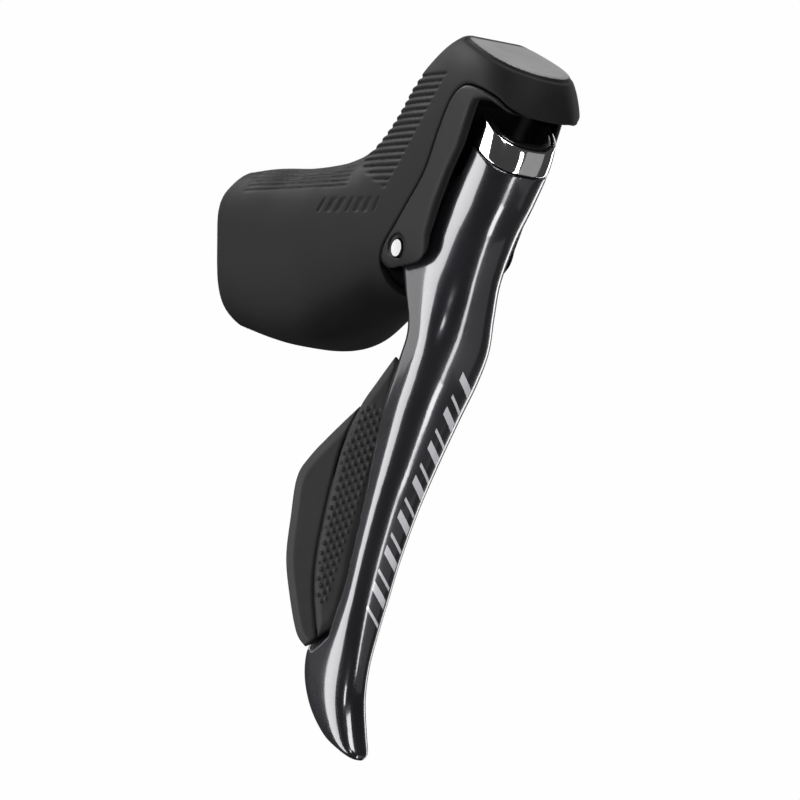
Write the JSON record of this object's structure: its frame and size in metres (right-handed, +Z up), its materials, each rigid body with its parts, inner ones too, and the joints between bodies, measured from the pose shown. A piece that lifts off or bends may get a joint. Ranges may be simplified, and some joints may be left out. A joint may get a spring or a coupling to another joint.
{
  "type": "brake shift lever",
  "caption": "Right-hand drop-bar brake and shift lever: rubber-hooded bracket with a master cylinder, a hinged hollow blade with a bright cap, and two shift paddles behind it.",
  "frame": {"origin": "on the handlebar's axis, halfway along the clamp band", "axes": "+Z up along the handlebar's axis at the clamp, +X forward from the bar to the pommel, +Y inboard towards the stem"},
  "size_m": [0.1187, 0.0368, 0.1687],
  "materials": {
    "rubber": "matt, finely grained",
    "casting": "semi-matt black composite",
    "blade_paint": "glossy metallic dark grey",
    "chrome": "polished",
    "plastic": "satin, dimpled on the pressed faces",
    "steel": "turned",
    "dark_steel": "blackened",
    "alloy": "machined",
    "brass": "turned",
    "seal": "smooth",
    "circuit_board": "solder mask",
    "bladder": "soft, matt"
  },
  "bodies": {
    "bracket": {"bracket_body": "casting", "hood_cover": "rubber", "clamp_band": "steel", "clamp_nut": "steel", "clamp_bolt": "steel", "pivot_pin": "steel", "pivot_clip": "dark_steel", "hose_nut": "alloy", "hose_olive": "brass", "coin_cell": "steel", "cell_contact": "brass", "door_seal": "seal", "battery_door": "casting", "control_board": "circuit_board", "radio_chip": "dark_steel", "remote_switch": "dark_steel", "cylinder_liner": "alloy", "piston_spring": "steel", "stop_ring": "dark_steel", "reservoir_lid": "alloy", "reservoir_bladder": "bladder", "lid_screw_1": "steel", "lid_screw_2": "steel", "lid_screw_3": "steel", "lid_screw_4": "steel", "bleed_screw": "steel"},
    "lever": {"lever_blade": "blade_paint", "blade_cap": "chrome", "carrier_screw": "steel", "lever_carrier": "alloy", "pivot_bush_outboard": "brass", "pivot_bush_inboard": "brass", "rod_pin": "steel", "reach_screw": "steel", "switch_base": "plastic", "paddle_pin": "steel", "switch_board": "circuit_board", "front_switch": "dark_steel", "rear_switch": "dark_steel", "board_screw_1": "steel", "board_screw_2": "steel"},
    "front_paddle": {"front_paddle": "plastic"},
    "rear_paddle": {"rear_paddle": "plastic"},
    "piston": {"piston": "alloy", "piston_seal_1": "seal", "piston_seal_2": "seal"},
    "push_rod": {"push_rod": "steel"},
    "remote_button": {"remote_button": "plastic"}
  },
  "joints": [
    {"name": "lever_pull", "type": "hinge", "parent": "bracket", "child": "lever", "pos_m": [0.067, 0, 0], "axis": [0, 1, 0], "range_deg": [0, 16], "stiffness_Nm_per_rad": 1.5, "springref_deg": -5.73},
    {"name": "front_paddle_press", "type": "hinge", "parent": "lever", "child": "front_paddle", "pos_m": [0.07734, -0.0012, -0.00376], "axis": [-0.342, 0, -0.9397], "range_deg": [0, 3.5], "stiffness_Nm_per_rad": 1.5},
    {"name": "rear_paddle_press", "type": "hinge", "parent": "lever", "child": "rear_paddle", "pos_m": [0.07734, -0.0012, -0.00376], "axis": [-0.342, 0, -0.9397], "range_deg": [0, 3.5], "stiffness_Nm_per_rad": 1.5},
    {"name": "piston_stroke", "type": "slide", "parent": "bracket", "child": "piston", "axis": [0.5, 0, 0.866], "range_m": [0, 0.003], "deforming": ["piston_spring"]},
    {"name": "push_rod_swing", "type": "hinge", "parent": "lever", "child": "push_rod", "pos_m": [0.058, 0, 0.0065], "axis": [0, 1, 0], "range_deg": [-20.3, 0]},
    {"name": "remote_button_press", "type": "slide", "parent": "bracket", "child": "remote_button", "axis": [0, -1, 0], "range_m": [0, 0.0005], "stiffness_N_per_m": 1500}
  ],
  "couplings": [
    {"joint": "piston_stroke", "follows": "lever_pull", "m_per_rad": 0.01074},
    {"joint": "push_rod_swing", "follows": "lever_pull", "ratio": -1.2656}
  ]
}
